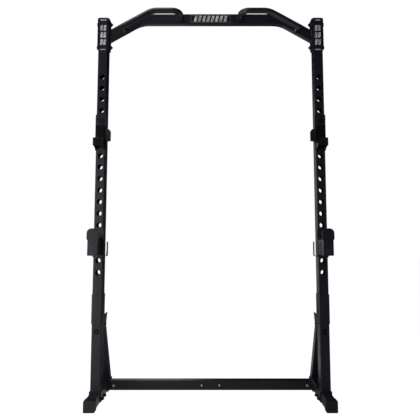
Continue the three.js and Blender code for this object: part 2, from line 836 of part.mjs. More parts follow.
function column(side, suffix) {
  const group = new THREE.Group();
  group.position.set((side * postSpacing) / 2, postFrontY, 0);
  const add = (name, solid, finish) => group.add(meshOf(`${name}_${suffix}`, solid, finish));
  add('foot_tube', footTube(), 'frame');
  add('foot_boot_front', footBoot(), 'rubber');
  add('foot_cap_rear', footRearCap(), 'rubber');
  add('post_saddle', saddle(), 'frame');
  add('post_lower', postLower(), 'frame');
  add('post_sleeve', postSleeve(), 'frame');
  add('post_upper', postUpper(), 'frame');
  add('post_cap', postCap(), 'plastic');
  add('bar_outer_plate', endPlateSolid(side), 'frame');
  add('bar_end_plate', endPlateSolid(-side), 'frame');
  add('brace_tube', brace(), 'frame');
  add('brace_head', braceHead(), 'frame');
  add('brace_bolt', braceBolt(), 'fastener');
  add('cross_angle', crossAngle(side), 'frame');
  const crossBoltX = -side * (footWidth / 2 + crossBoltInset);
  add('cross_end_bolt', crossBolt(crossBoltX, crossFront - 2 * gap - anglePlate), 'fastener');
  barBoltHeights.forEach((z, index) => (
    add(`bar_bolt_${['upper', 'lower'][index]}`, barBolt(side, z), 'fastener')
  ));
  const saddleFace = side * (saddleOuter + gap);
  saddleBolts.forEach(({ y, z }, index) => {
    const bolt = throughBolt('x', saddleFace, -saddleFace, y, z, footBolt);
    add(`foot_bolt_${['front', 'rear'][index]}`, bolt, 'fastener');
  });
  add('hook_body', hookBody(side), 'frame');
  add('hook_liner', hookLiner(), 'plastic');
  add('hook_pin', lockPin(holeHeight(hookHole), -80), 'fastener');
  add('catch_bracket', catchBracket(side), 'frame');
  add('catch_arm', catchArm(), 'frame');
  add('catch_liner', catchLiner(), 'plastic');
  add('catch_pin', lockPin(holeHeight(catchHole), catchArmTop + gap), 'fastener');
  return group;
}

const middle = new THREE.Group();
middle.position.y = postFrontY;
middle.add(meshOf('pull_up_bar', pullUpBar(), 'frame'));
middle.add(meshOf('bar_badge', badge(), 'badge'));
middle.add(meshOf('crossmember', crossmember(), 'frame'));
middle.add(meshOf('cross_mid_bolt_left', crossBolt(-crossBoltMid, crossFront - gap), 'fastener'));
middle.add(meshOf('cross_mid_bolt_right', crossBolt(crossBoltMid, crossFront - gap), 'fastener'));
middle.add(meshOf('grip_left', grip(-1), 'grip'));
middle.add(meshOf('grip_right', grip(1), 'grip'));

const halfRack = new THREE.Group();
halfRack.add(column(-1, 'left'), column(1, 'right'), middle);

export default halfRack;
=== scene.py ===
import json
import math

import bmesh
import bpy
from mathutils import Matrix, Vector


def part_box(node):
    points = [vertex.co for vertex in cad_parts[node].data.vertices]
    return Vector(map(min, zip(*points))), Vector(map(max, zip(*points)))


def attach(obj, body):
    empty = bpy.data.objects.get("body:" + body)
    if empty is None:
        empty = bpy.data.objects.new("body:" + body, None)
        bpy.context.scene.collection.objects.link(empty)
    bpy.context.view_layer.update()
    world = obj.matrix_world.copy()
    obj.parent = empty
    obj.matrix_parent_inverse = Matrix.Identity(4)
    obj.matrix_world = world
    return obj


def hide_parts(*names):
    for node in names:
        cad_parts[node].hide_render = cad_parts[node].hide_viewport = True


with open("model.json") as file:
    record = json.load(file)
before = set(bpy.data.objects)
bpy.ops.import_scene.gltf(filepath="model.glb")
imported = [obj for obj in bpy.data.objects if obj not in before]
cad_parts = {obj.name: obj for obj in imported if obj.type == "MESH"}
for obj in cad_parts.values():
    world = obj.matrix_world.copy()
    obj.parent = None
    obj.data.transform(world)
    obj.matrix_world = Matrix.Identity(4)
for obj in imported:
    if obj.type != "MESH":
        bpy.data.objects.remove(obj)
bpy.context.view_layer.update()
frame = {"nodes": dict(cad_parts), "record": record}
nodes = frame["nodes"]
sides = {"left": -1, "right": 1}
millimetre = 0.001
print("frame loaded:", len(nodes), "nodes")


# one socket in a node tree, so that shader maths can be written as plain expressions
class Wire:
    def __init__(self, bench, socket):
        self.bench = bench
        self.socket = socket

    def maths(self, operation, *values):
        return self.bench.node("ShaderNodeMath", {"operation": operation}, dict(enumerate(values)))

    def __add__(self, other):
        return self.maths("ADD", self, other)

    def __radd__(self, other):
        return self.maths("ADD", other, self)

    def __sub__(self, other):
        return self.maths("SUBTRACT", self, other)

    def __rsub__(self, other):
        return self.maths("SUBTRACT", other, self)

    def __mul__(self, other):
        return self.maths("MULTIPLY", self, other)

    def __rmul__(self, other):
        return self.maths("MULTIPLY", other, self)


class Bench:
    def __init__(self, tree):
        self.tree = tree

    def node(self, kind, settings=None, inputs=None, output=0):
        made = self.tree.nodes.new(kind)
        for name, value in (settings or {}).items():
            setattr(made, name, value)
        for key, value in (inputs or {}).items():
            for item in value if isinstance(value, list) else [value]:
                if isinstance(item, Wire):
                    self.tree.links.new(item.socket, made.inputs[key])
                else:
                    made.inputs[key].default_value = item
        return Wire(self, made.outputs[output])

    def leave(self, kind, socket, value):
        out = self.tree.nodes.new(kind)
        self.tree.links.new(value.socket, out.inputs[socket])

    def mixColour(self, factor, low, high):
        settings = {"data_type": "RGBA"}
        return self.node("ShaderNodeMix", settings, {0: factor, 6: low, 7: high}, 2)

    def noise(self, place, scale, detail=2.0):
        return self.node("ShaderNodeTexNoise", None, {"Vector": place, "Scale": scale, "Detail": detail})

    def fade(self, value, low, high, toLow=0.0, toHigh=1.0):
        levels = {"From Min": low, "From Max": high, "To Min": toLow, "To Max": toHigh}
        return self.node("ShaderNodeMapRange", {"clamp": True}, {"Value": value, **levels})


# ---- finishes ----

coatLooks = {
    "powderCoat": {
        "colour": (0.0110, 0.0145, 0.0235), "cloud": (0.0135, 0.0175, 0.0285), "worn": (0.045, 0.050, 0.060),
        "roughness": 0.36, "roughnessSwing": 0.10, "peelScale": 620.0, "peelDepth": 0.10,
        "wearFrom": 0.535, "wearTo": 0.60, "metallic": 0.0, "coat": 0.15, "coatRoughness": 0.3, "dust": 0.006,
    },
    "gripCoat": {
        "colour": (0.020, 0.023, 0.030), "cloud": (0.025, 0.028, 0.036), "worn": (0.05, 0.053, 0.06),
        "roughness": 0.34, "roughnessSwing": 0.08, "peelScale": 420.0, "peelDepth": 0.04,
        "wearFrom": 0.55, "wearTo": 0.65, "metallic": 0.0, "coat": 0.35, "coatRoughness": 0.16, "dust": 0.004,
    },
    "mouldedPlastic": {
        "colour": (0.004, 0.0042, 0.0046), "cloud": (0.006, 0.0062, 0.0066), "worn": (0.03, 0.03, 0.032),
        "roughness": 0.62, "roughnessSwing": 0.12, "peelScale": 1500.0, "peelDepth": 0.22,
        "wearFrom": 0.54, "wearTo": 0.62, "metallic": 0.0, "coat": 0.0, "coatRoughness": 0.3, "dust": 0.004,
        "specular": 0.12,
    },
    "footRubber": {
        "colour": (0.0125, 0.0145, 0.019), "cloud": (0.0155, 0.0175, 0.0225), "worn": (0.03, 0.032, 0.036),
        "roughness": 0.6, "roughnessSwing": 0.12, "peelScale": 900.0, "peelDepth": 0.3,
        "wearFrom": 0.53, "wearTo": 0.6, "metallic": 0.0, "coat": 0.0, "coatRoughness": 0.3, "dust": 0.01,
    },
    "blackZinc": {
        "colour": (0.020, 0.021, 0.024), "cloud": (0.045, 0.046, 0.05), "worn": (0.25, 0.25, 0.26),
        "roughness": 0.32, "roughnessSwing": 0.16, "peelScale": 1900.0, "peelDepth": 0.05,
        "wearFrom": 0.53, "wearTo": 0.59, "metallic": 0.75, "coat": 0.0, "coatRoughness": 0.3, "dust": 0.004,
    },
    "brightZinc": {
        "colour": (0.70, 0.71, 0.74), "cloud": (0.80, 0.81, 0.84), "worn": (0.8, 0.8, 0.82),
        "roughness": 0.38, "roughnessSwing": 0.12, "peelScale": 1900.0, "peelDepth": 0.05,
        "wearFrom": 0.53, "wearTo": 0.59, "metallic": 0.8, "coat": 0.0, "coatRoughness": 0.3, "dust": 0.0,
    },
    "plateInk": {
        "colour": (0.010, 0.011, 0.013), "cloud": (0.013, 0.014, 0.016), "worn": (0.03, 0.03, 0.033),
        "roughness": 0.3, "roughnessSwing": 0.06, "peelScale": 800.0, "peelDepth": 0.03,
        "wearFrom": 0.55, "wearTo": 0.65, "metallic": 0.0, "coat": 0.3, "coatRoughness": 0.2, "dust": 0.0,
    },
    "printWhite": {
        "colour": (0.90, 0.91, 0.93), "cloud": (0.94, 0.95, 0.96), "worn": (0.3, 0.3, 0.31),
        "roughness": 0.45, "roughnessSwing": 0.1, "peelScale": 700.0, "peelDepth": 0.04,
        "wearFrom": 0.55, "wearTo": 0.65, "metallic": 0.0, "coat": 0.1, "coatRoughness": 0.3, "dust": 0.0,
    },
    "borderGrey": {
        "colour": (0.22, 0.225, 0.235), "cloud": (0.25, 0.255, 0.265), "worn": (0.3, 0.3, 0.31),
        "roughness": 0.4, "roughnessSwing": 0.1, "peelScale": 700.0, "peelDepth": 0.04,
        "wearFrom": 0.55, "wearTo": 0.65, "metallic": 0.0, "coat": 0.1, "coatRoughness": 0.3, "dust": 0.0,
    },
}


def paint(name, look):
    material = bpy.data.materials.new(name)
    material.use_nodes = True
    tree = material.node_tree
    tree.nodes.clear()
    bench = Bench(tree)
    place = bench.node("ShaderNodeTexCoord", output="Object")
    cloud = bench.fade(bench.noise(place, 7.0, 4.0), 0.35, 0.68)
    grain = bench.fade(bench.noise(place, 140.0, 3.0), 0.3, 0.7)
    peel = bench.noise(place, look["peelScale"], 1.0)
    shapeEdge = bench.node("ShaderNodeNewGeometry", output="Pointiness")
    rub = bench.fade(bench.noise(place, 55.0, 5.0), 0.42, 0.62)
    wear = bench.fade(shapeEdge, look["wearFrom"], look["wearTo"]) * rub
    upward = bench.node("ShaderNodeSeparateXYZ", None,
                        {0: bench.node("ShaderNodeNewGeometry", output="Normal")}, "Z")
    specks = bench.fade(bench.noise(place, 30.0, 6.0), 0.35, 0.75)
    dust = bench.fade(upward, 0.55, 1.0) * specks * look["dust"]
    base = bench.mixColour(cloud * 0.7 + grain * 0.3, (*look["colour"], 1), (*look["cloud"], 1))
    base = bench.mixColour(wear * 0.8, base, (*look["worn"], 1))
    base = bench.mixColour(dust, base, (0.36, 0.35, 0.33, 1))
    roughness = (grain * 0.5 + cloud * 0.5 - 0.5) * look["roughnessSwing"] + look["roughness"] + dust * 2.0
    height = peel * 0.8 + grain * 0.2
    bump = bench.node("ShaderNodeBump", None,
                      {"Height": height, "Strength": look["peelDepth"], "Distance": 0.0006})
    surface = bench.node("ShaderNodeBsdfPrincipled", None, {
        "Base Color": base, "Roughness": roughness, "Metallic": look["metallic"],
        "Coat Weight": look["coat"], "Coat Roughness": look["coatRoughness"],
        "Specular IOR Level": look.get("specular", 0.5), "Normal": bump})
    bench.leave("ShaderNodeOutputMaterial", "Surface", surface)
    return material


paints = {name: paint(name, look) for name, look in coatLooks.items()}
print("finishes made:", len(paints))


# ---- making and finishing meshes ----

def newObject(name, mesh):
    made = bpy.data.objects.new(name, mesh)
    bpy.context.scene.collection.objects.link(made)
    return made


def objectFrom(name, shape):
    mesh = bpy.data.meshes.new(name)
    shape.to_mesh(mesh)
    shape.free()
    return newObject(name, mesh)


def bake(made):
    bpy.context.view_layer.update()
    depsgraph = bpy.context.evaluated_depsgraph_get()
    plain = bpy.data.meshes.new_from_object(
        made.evaluated_get(depsgraph), preserve_all_data_layers=True, depsgraph=depsgraph)
    made.modifiers.clear()
    made.data = plain
    return made


# small round on every sharp edge, with the flats kept flat in the shading
def softenEdges(made, width=0.8, segments=2, angle=38):
    made.data.shade_smooth()
    bevel = made.modifiers.new("edgeRound", "BEVEL")
    bevel.width = width * millimetre
    bevel.segments = segments
    bevel.limit_method = "ANGLE"
    bevel.angle_limit = math.radians(angle)
    bevel.use_clamp_overlap = True
    made.modifiers.new("flatShading", "WEIGHTED_NORMAL").keep_sharp = False
    return bake(made)


def settle(made, body, finish, replaced=()):
    if not made.data.materials:
        made.data.materials.append(paints[finish])
    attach(made, body)
    if replaced:
        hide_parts(*replaced)
    return made


def mergedShape(node):
    shape = bmesh.new()
    shape.from_mesh(nodes[node].data)
    bmesh.ops.remove_doubles(shape, verts=shape.verts, dist=1e-5)
    bmesh.ops.dissolve_limit(shape, angle_limit=math.radians(1), verts=shape.verts, edges=shape.edges)
    return shape


def bevelledCopy(name, node, width=0.8, segments=2):
    return softenEdges(objectFrom(name, mergedShape(node)), width, segments)


def roundedLoop(width, height, radius, steps=6):
    loop = []
    for turn, (signU, signV) in enumerate([(1, 1), (-1, 1), (-1, -1), (1, -1)]):
        for step in range(steps + 1):
            angle = math.radians(90 * turn + 90 * step / steps)
            loop.append((signU * (width / 2 - radius) + radius * math.cos(angle),
                         signV * (height / 2 - radius) + radius * math.sin(angle)))
    return loop


def circleLoop(radius, steps=32):
    return [(radius * math.cos(2 * math.pi * i / steps), radius * math.sin(2 * math.pi * i / steps))
            for i in range(steps)]


# wall between an outer and an inner skin, each given as rings of points in millimetres
def tubeShape(outerRings, innerRings):
    shape = bmesh.new()

    def skin(rings):
        loops = [[shape.verts.new(Vector(point) * millimetre) for point in ring] for ring in rings]
        for low, high in zip(loops, loops[1:]):
            for i in range(len(low)):
                j = (i + 1) % len(low)
                shape.faces.new((low[i], low[j], high[j], high[i]))
        return loops

    outer = skin(outerRings)
    inner = skin(innerRings)
    for end in (0, -1):
        for i in range(len(outer[end])):
            j = (i + 1) % len(outer[end])
            shape.faces.new((outer[end][i], outer[end][j], inner[end][j], inner[end][i]))
    bmesh.ops.recalc_face_normals(shape, faces=shape.faces)
    return shape


def straightRings(loop, axis, stations, middle):
    rings = []
    for station in stations:
        place = {
            "x": lambda u, v: (station, middle[1] + u, middle[2] + v),
            "y": lambda u, v: (middle[0] + u, station, middle[2] + v),
            "z": lambda u, v: (middle[0] + u, middle[1] + v, station),
        }[axis]
        rings.append([place(u, v) for u, v in loop])
    return rings


def filletPath(corners, radii, divisions=12):
    corners = [Vector(corner) for corner in corners]
    stations = [corners[0]]
    for corner, before, after, radius in zip(corners[1:], corners, corners[2:], radii):
        back = (before - corner).normalized()
        ahead = (after - corner).normalized()
        turn = math.pi - back.angle(ahead)
        start = corner + back * radius * math.tan(turn / 2)
        centre = corner + (back + ahead).normalized() * radius / math.cos(turn / 2)
        hinge = (-back).cross(ahead).normalized()
        for step in range(divisions + 1):
            stations.append(centre + Matrix.Rotation(turn * step / divisions, 3, hinge) @ (start - centre))
    stations.append(corners[-1])
    return stations


# rings of a profile carried along a path; the reference direction turns with the path
def sweptRings(stations, loop, reference, squareEnds=None):
    rings = []
    across = Vector(reference).normalized()
    last = len(stations) - 1
    heading = None
    for index, station in enumerate(stations):
        tangent = (stations[min(index + 1, last)] - stations[max(index - 1, 0)]).normalized()
        if heading is not None:
            across = heading.rotation_difference(tangent) @ across
        heading = tangent
        across = (across - tangent * across.dot(tangent)).normalized()
        rise = tangent.cross(across)
        ring = [station + across * u + rise * v for u, v in loop]
        if squareEnds is not None and index in (0, last):
            axis = squareEnds
            ring = [p + tangent * ((station[axis] - p[axis]) / tangent[axis]) for p in ring]
        rings.append(ring)
    return rings


def boxOf(node):
    low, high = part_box(node)
    return [v / millimetre for v in low], [v / millimetre for v in high]


def middleOf(node):
    low, high = boxOf(node)
    return [(a + b) / 2 for a, b in zip(low, high)]


# ---- geometry node trees ----

def groupWith(name, sockets):
    tree = bpy.data.node_groups.new(name, "GeometryNodeTree")
    tree.interface.new_socket("Geometry", in_out="INPUT", socket_type="NodeSocketGeometry")
    tree.interface.new_socket("Geometry", in_out="OUTPUT", socket_type="NodeSocketGeometry")
    keys = {}
    for label, kind in sockets.items():
        socket = tree.interface.new_socket(label, in_out="INPUT", socket_type="NodeSocket" + kind)
        keys[label] = socket.identifier
    bench = Bench(tree)
    entry = tree.nodes.new("NodeGroupInput")
    wires = {socket.name: Wire(bench, socket) for socket in entry.outputs if socket.name}
    return tree, bench, wires, keys


def closeGroup(bench, geometry, coat):
    solid = bench.node("GeometryNodeRealizeInstances", None, {"Geometry": geometry})
    solid = bench.node("GeometryNodeSetMaterial", None, {"Geometry": solid, "Material": coat})
    bench.leave("NodeGroupOutput", "Geometry", solid)


def runGroup(made, tree, keys, values):
    modifier = made.modifiers.new(tree.name, "NODES")
    modifier.node_group = tree
    for label, value in values.items():
        modifier[keys[label]] = value
    return bake(made)


# rectangular tube on end, with a row of round holes through its front and back walls
def perforatedTubeTree():
    tree, bench, w, keys = groupWith("perforatedTube", {
        "Width": "Float", "Depth": "Float", "Wall": "Float", "Corner": "Float", "Bottom": "Float",
        "Length": "Float", "Middle X": "Float", "Middle Y": "Float", "Hole Radius": "Float",
        "Hole Pitch": "Float", "Top Hole": "Float", "Hole Count": "Int", "Coat": "Material"})

    def slug(inset, past):
        outline = bench.node("GeometryNodeCurvePrimitiveQuadrilateral", {"mode": "RECTANGLE"},
                             {"Width": w["Width"] - inset * 2.0, "Height": w["Depth"] - inset * 2.0})
        outline = bench.node("GeometryNodeFilletCurve", {"mode": "POLY"},
                             {"Curve": outline, "Radius": w["Corner"] - inset * 0.9, "Count": 7})
        face = bench.node("GeometryNodeFillCurve", {"mode": "NGONS"}, {"Curve": outline})
        way = bench.node("ShaderNodeCombineXYZ", None, {"Z": w["Length"] + 2 * past})
        raised = bench.node("GeometryNodeExtrudeMesh", {"mode": "FACES"},
                            {"Mesh": face, "Offset": way, "Offset Scale": 1.0, "Individual": False})
        under = bench.node("GeometryNodeFlipFaces", None, {"Mesh": face})
        both = bench.node("GeometryNodeJoinGeometry", None, {"Geometry": [raised, under]})
        both = bench.node("GeometryNodeMergeByDistance", None, {"Geometry": both, "Distance": 1e-6})
        lift = bench.node("ShaderNodeCombineXYZ", None, {"Z": w["Bottom"] - past})
        return bench.node("GeometryNodeTransform", None, {"Geometry": both, "Translation": lift})

    start = bench.node("ShaderNodeCombineXYZ", None, {"Z": w["Top Hole"]})
    step = bench.node("ShaderNodeCombineXYZ", None, {"Z": 0.0 - w["Hole Pitch"]})
    row = bench.node("GeometryNodeMeshLine", {"mode": "OFFSET"},
                     {"Count": w["Hole Count"], "Start Location": start, "Offset": step})
    drill = bench.node("GeometryNodeMeshCylinder", {"fill_type": "NGON"},
                       {"Vertices": 40, "Radius": w["Hole Radius"], "Depth": w["Depth"] * 2.0})
    drills = bench.node("GeometryNodeInstanceOnPoints", None,
                        {"Points": row, "Instance": drill, "Rotation": (math.pi / 2, 0, 0)})
    drills = bench.node("GeometryNodeRealizeInstances", None, {"Geometry": drills})
    walls = bench.node("GeometryNodeMeshBoolean", {"operation": "DIFFERENCE", "solver": "EXACT"},
                       {"Mesh 1": slug(w["Wall"] * 0.0, 0.0), "Mesh 2": [slug(w["Wall"], 0.01), drills]})
    shift = bench.node("ShaderNodeCombineXYZ", None, {"X": w["Middle X"], "Y": w["Middle Y"]})
    placed = bench.node("GeometryNodeTransform", None, {"Geometry": walls, "Translation": shift})
    closeGroup(bench, placed, w["Coat"])
    return tree, keys


# copies of one shape at a mesh's points, each turned to that point's facing and set to its size
def scatterTree():
    tree, bench, w, keys = groupWith("fastenersAtPoints", {"Shape": "Object", "Coat": "Material"})
    shape = bench.node("GeometryNodeObjectInfo", None, {"Object": w["Shape"]}, "Geometry")
    facing = bench.node("GeometryNodeInputNamedAttribute", {"data_type": "FLOAT_VECTOR"}, {"Name": "facing"})
    size = bench.node("GeometryNodeInputNamedAttribute", {"data_type": "FLOAT"}, {"Name": "size"})
    turned = bench.node("FunctionNodeAlignRotationToVector", {"axis": "Z"}, {"Vector": facing})
    copies = bench.node("GeometryNodeInstanceOnPoints", None,
                        {"Points": w["Geometry"], "Instance": shape, "Rotation": turned, "Scale": size})
    closeGroup(bench, copies, w["Coat"])
    return tree, keys


# overlapping flat drops along each seam, as a welder lays them
def weldTree():
    tree, bench, w, keys = groupWith("weldBead", {
        "Drop Radius": "Float", "Drop Spacing": "Float", "Seed": "Int", "Coat": "Material"})
    seam = bench.node("GeometryNodeMeshToCurve", None, {"Mesh": w["Geometry"]})
    seam = bench.node("GeometryNodeResampleCurve", {"mode": "LENGTH"},
                      {"Curve": seam, "Length": w["Drop Spacing"]})
    drop = bench.node("GeometryNodeMeshUVSphere", None,
                      {"Segments": 8, "Rings": 5, "Radius": w["Drop Radius"]})
    along = bench.node("GeometryNodeInputTangent")
    turned = bench.node("FunctionNodeAlignRotationToVector", {"axis": "Z"}, {"Vector": along})
    spread = bench.node("FunctionNodeRandomValue", {"data_type": "FLOAT"},
                        {2: 0.85, 3: 1.15, "Seed": w["Seed"]}, 1)
    size = bench.node("ShaderNodeCombineXYZ", None, {"X": spread, "Y": spread, "Z": spread * 0.8})
    drops = bench.node("GeometryNodeInstanceOnPoints", None,
                       {"Points": seam, "Instance": drop, "Rotation": turned, "Scale": size})
    drops = bench.node("GeometryNodeRealizeInstances", None, {"Geometry": drops})
    drops = bench.node("GeometryNodeSetShadeSmooth", None, {"Geometry": drops})
    closeGroup(bench, drops, w["Coat"])
    return tree, keys


tubeTree, tubeKeys = perforatedTubeTree()
scatter, scatterKeys = scatterTree()
welds, weldKeys = weldTree()
weldSeams = {"frame": [], "hook_left": [], "hook_right": [], "catch_left": [], "catch_right": []}


# ---- uprights ----

uprightLook = {"wall": 3.0, "corner": 4.0, "holeRadius": 13.5, "pitch": 63.0, "topHole": 1745.0, "holes": 18}


def perforatedTube(name, node, wall, corner, holes, topHole, replaced):
    low, high = boxOf(node)
    made = newObject(name, bpy.data.meshes.new(name))
    made = runGroup(made, tubeTree, tubeKeys, {
        "Width": (high[0] - low[0]) * millimetre, "Depth": (high[1] - low[1]) * millimetre,
        "Wall": wall * millimetre, "Corner": corner * millimetre, "Bottom": low[2] * millimetre,
        "Length": (high[2] - low[2]) * millimetre, "Middle X": (low[0] + high[0]) / 2 * millimetre,
        "Middle Y": (low[1] + high[1]) / 2 * millimetre,
        "Hole Radius": uprightLook["holeRadius"] * millimetre,
        "Hole Pitch": uprightLook["pitch"] * millimetre, "Top Hole": topHole * millimetre,
        "Hole Count": holes, "Coat": paints["powderCoat"]})
    softenEdges(made, 0.6, 2)
    return settle(made, "frame", "powderCoat", replaced)


for side in sides:
    look = uprightLook
    perforatedTube(f"upperUpright_{side}", f"post_upper_{side}", look["wall"], look["corner"], look["holes"],
                   look["topHole"], [f"post_upper_{side}"])
    perforatedTube(f"lowerUpright_{side}", f"post_lower_{side}", look["wall"], look["corner"], 1,
                   367.0, [f"post_lower_{side}"])
    perforatedTube(f"spliceSleeve_{side}", f"post_sleeve_{side}", 3.0, look["corner"] + 3.3, 0,
                   0.0, [f"post_sleeve_{side}"])
print("uprights made")


# ---- feet, crossmember and braces ----

footLook = {"wall": 3.0, "corner": 4.0}
crossLook = {"wall": 2.5, "corner": 5.0}
braceLook = {"wall": 3.0, "corner": 5.0, "run": 192.0}


def straightTube(name, node, axis, look, body="frame"):
    low, high = boxOf(node)
    middle = [(a + b) / 2 for a, b in zip(low, high)]
    size = [b - a for a, b in zip(low, high)]
    index = "xyz".index(axis)
    u, v = [s for i, s in enumerate(size) if i != index]
    wall = look["wall"]
    outer = roundedLoop(u, v, look["corner"])
    inner = roundedLoop(u - 2 * wall, v - 2 * wall, max(look["corner"] - wall, 1.2))
    ends = [low[index], high[index]]
    made = objectFrom(name, tubeShape(straightRings(outer, axis, ends, middle),
                                      straightRings(inner, axis, ends, middle)))
    softenEdges(made, 0.5, 2)
    return settle(made, body, "powderCoat", [node])


# tube cut level at both ends while it leans back
def leaningTube(name, node, look):
    low, high = boxOf(node)
    width = high[0] - low[0]
    across = (high[1] - low[1]) - look["run"]
    middleX = (low[0] + high[0]) / 2
    levels = [(high[2], low[1] + across / 2), (low[2], high[1] - across / 2)]
    wall = look["wall"]

    def rings(inset, radius):
        loop = roundedLoop(width - 2 * inset, across - 2.3 * inset, radius)
        return [[(middleX + u, y + v, z) for u, v in loop] for z, y in levels]

    made = objectFrom(name, tubeShape(rings(0, look["corner"]), rings(wall, 2.0)))
    softenEdges(made, 0.5, 2)
    bottomLoop = roundedLoop(width + 3, across + 3, 5, 3)
    seam = [(middleX + u, levels[1][1] + v, low[2] + 1.2) for u, v in bottomLoop]
    weldSeams["frame"].append(seam + seam[:1])
    topSeam = [(middleX + u, levels[0][1] + v, high[2] - 0.5) for u, v in bottomLoop]
    weldSeams["frame"].append(topSeam + topSeam[:1])
    return settle(made, "frame", "powderCoat", [node])


for side in sides:
    straightTube(f"footTube_{side}", f"foot_tube_{side}", "y", footLook)
    leaningTube(f"brace_{side}", f"brace_tube_{side}", braceLook)
straightTube("rearCrossmember", "crossmember", "x", crossLook)
print("feet and braces made")


# ---- pull-up bar and grips ----

barLook = {"height": 60.0, "wall": 3.0, "corner": 7.0, "level": 2086.0, "flat": 350.0,
           "bendRadius": 180.0, "slope": 30.0}
gripLook = {"radius": 16.0, "wall": 2.0, "reach": 75.0, "lift": 16.0, "innerX": 168.0, "bendX": 322.0,
            "outerX": 493.0, "slope": 29.5, "innerRadius": 45.0, "outerRadius": 110.0,
            "standoffRadius": 12.0, "standoffInset": 14.0}


def pullUpBar():
    low, high = boxOf("pull_up_bar")
    look = barLook
    middleY = (low[1] + high[1]) / 2
    depth = high[1] - low[1]
    slope = math.radians(look["slope"])
    cornerX = look["flat"] + look["bendRadius"] * math.tan(slope / 2)
    endZ = look["level"] - (high[0] - cornerX) * math.tan(slope)
    corners = [(-high[0], middleY, endZ), (-cornerX, middleY, look["level"]),
               (cornerX, middleY, look["level"]), (high[0], middleY, endZ)]
    stations = filletPath(corners, [look["bendRadius"]] * 2, 14)
    wall = look["wall"]
    outer = roundedLoop(depth, look["height"], look["corner"])
    inner = roundedLoop(depth - 2 * wall, look["height"] - 2 * wall, look["corner"] - wall)
    made = objectFrom("pullUpBar", tubeShape(sweptRings(stations, outer, (0, 1, 0), 0),
                                             sweptRings(stations, inner, (0, 1, 0), 0)))
    softenEdges(made, 0.5, 2, 50)
    halfTall = look["height"] / 2 / math.cos(slope)
    for way in (-1, 1):
        loop = roundedLoop(depth + 3, 2 * halfTall + 3, 7, 3)
        seam = [(way * (high[0] - 1), middleY + u, endZ + v) for u, v in loop]
        weldSeams["frame"].append(seam + seam[:1])
    return settle(made, "frame", "powderCoat", ["pull_up_bar"])


def ringRound(centre, radius, axis, steps=16):
    ring = []
    for step in range(steps + 1):
        angle = 2 * math.pi * step / steps
        u, v = radius * math.cos(angle), radius * math.sin(angle)
        offset = (u, 0, v) if axis == "y" else (0, u, v)
        ring.append(tuple(middle + shift for middle, shift in zip(centre, offset)))
    return ring


def grip(side, way):
    look = gripLook
    barFront = boxOf("pull_up_bar")[0][1]
    frontY = barFront - look["reach"]
    level = barLook["level"] + look["lift"]
    slope = math.tan(math.radians(look["slope"]))
    corners = [(way * look["innerX"], barFront + 0.5, barLook["level"] + 4),
               (way * look["innerX"], frontY, level),
               (way * look["bendX"], frontY, level),
               (way * look["outerX"], frontY, level - (look["outerX"] - look["bendX"]) * slope)]
    stations = filletPath(corners, [look["innerRadius"], look["outerRadius"]], 16)
    shape = tubeShape(sweptRings(stations, circleLoop(look["radius"]), (0, 0, 1)),
                      sweptRings(stations, circleLoop(look["radius"] - look["wall"]), (0, 0, 1)))
    standX = look["outerX"] - look["standoffInset"]
    standZ = level - (standX - look["bendX"]) * slope
    place = (way * standX, 0, standZ)
    ends = [frontY + look["radius"] - 3, barFront + 0.3]
    stand = tubeShape(straightRings(circleLoop(look["standoffRadius"]), "y", ends, place),
                      straightRings(circleLoop(look["standoffRadius"] - 2), "y", ends, place))
    spare = bpy.data.meshes.new("standoff")
    stand.to_mesh(spare)
    stand.free()
    shape.from_mesh(spare)
    made = objectFrom(f"grip_{side}Bar", shape)
    softenEdges(made, 0.4, 2, 50)
    weldSeams["frame"].append(ringRound((way * look["innerX"], barFront - 1.0, barLook["level"] + 4),
                                        look["radius"] + 1, "y"))
    foot = (way * standX, barFront - 1.0, standZ)
    weldSeams["frame"].append(ringRound(foot, look["standoffRadius"] + 1, "y"))
    return settle(made, "frame", "gripCoat", [f"grip_{side}"])


pullUpBar()
for side, way in sides.items():
    grip(side, way)
print("pull-up bar and grips made")


# ---- brackets, caps, hooks and catches from the frame's own shapes ----

copyPlan = {
    "bar_outer_plate": ("powderCoat", 2.6, 3), "bar_end_plate": ("powderCoat", 2.6, 3),
    "post_saddle": ("powderCoat", 1.2, 3), "brace_head": ("powderCoat", 1.0, 3),
    "cross_angle": ("powderCoat", 0.9, 3), "foot_boot_front": ("footRubber", 1.2, 3),
    "foot_cap_rear": ("footRubber", 1.0, 3), "post_cap": ("mouldedPlastic", 0.9, 3),
    "brace_bolt": ("blackZinc", 0.6, 2), "hook_body": ("powderCoat", 0.9, 3),
    "hook_liner": ("mouldedPlastic", 0.8, 3), "hook_pin": ("blackZinc", 0.8, 3),
    "catch_bracket": ("powderCoat", 0.9, 3), "catch_arm": ("powderCoat", 1.2, 3),
    "catch_liner": ("mouldedPlastic", 0.8, 3), "catch_pin": ("blackZinc", 0.8, 3),
}
bodyOf = {node: body for body, members in frame["record"]["behaviour"]["bodies"].items() for node in members}
for base, (finish, width, segments) in copyPlan.items():
    words = base.split("_")
    pieceName = words[0] + "".join(word.capitalize() for word in words[1:])
    for side in sides:
        node = f"{base}_{side}"
        piece = bevelledCopy(f"{pieceName}_{side}", node, width, segments)
        settle(piece, bodyOf[node], finish, [node])
print("brackets, hooks and catches made")


# ---- hex bolts and nuts ----

fastenerLook = {"flats": 19.0, "washerRadius": 12.5, "washer": 1.6, "head": 8.0, "nut": 10.0,
                "thread": 6.0, "tail": 5.0, "threadPitch": 1.25, "coneShare": 0.96}


def hexRadius(flats, angle):
    return flats / 2 / math.cos((angle + math.pi / 6) % (math.pi / 3) - math.pi / 6)


